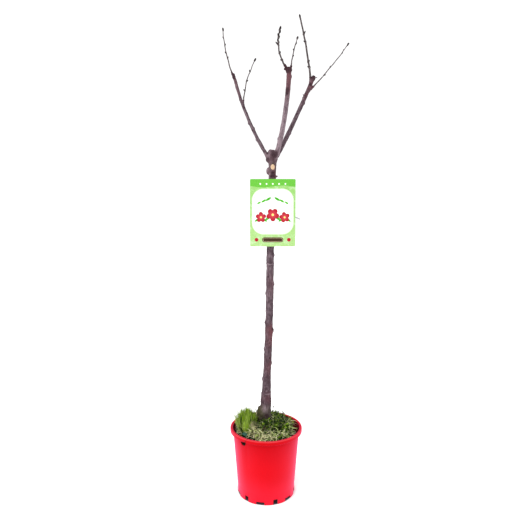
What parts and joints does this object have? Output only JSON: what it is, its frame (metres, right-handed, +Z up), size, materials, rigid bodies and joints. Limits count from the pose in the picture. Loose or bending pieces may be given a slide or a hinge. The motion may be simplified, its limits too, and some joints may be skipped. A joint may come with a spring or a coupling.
{
  "type": "potted cherry tree",
  "caption": "Bare young cherry tree on a slim grafted stem with pruned boughs and thin budded shoots, in a round red nursery pot with soil and low green cover, and a picture card on a strap.",
  "frame": {"origin": "middle of the pot's flat underside, on its centre foot, on the pot's axis", "axes": "+Z up the stem; -Y is the side that the label faces; +X to the right of someone who faces the label"},
  "size_m": [0.4349, 0.2545, 1.5743],
  "materials": {
    "red_plastic": "satin moulded red plastic",
    "potting_soil": "dark moist crumbly soil",
    "cherry_bark": "grey-purple young bark with pale breathing pores across it and dark scars",
    "young_bark": "thin dark young bark with near-black buds",
    "fresh_green": "bright yellow-green fine blades",
    "pale_straw": "pale straw strands over dark green",
    "dark_green": "dark green small leaves and strands",
    "dull_green": "dull green strands",
    "label_green": "printed semi-gloss card in greens and white with red flowers",
    "clear_strap": "milky clear strap",
    "white_foam": "white adhesive foam"
  },
  "bodies": {
    "root": {"pot": "red_plastic", "soil": "potting_soil", "trunk": "cherry_bark", "bough_left": "cherry_bark", "bough_centre": "cherry_bark", "bough_right": "cherry_bark", "twigs_left_tip": "young_bark", "twigs_left_side": "young_bark", "twigs_centre_left": "young_bark", "twigs_centre_right": "young_bark", "twigs_right_tip": "young_bark", "twigs_right_side": "young_bark", "green_tuft": "fresh_green", "cover_front": "pale_straw", "cover_right": "dark_green", "cover_back": "dull_green", "label_card": "label_green", "label_strap": "clear_strap", "label_pad": "white_foam"}
  },
  "joints": []
}
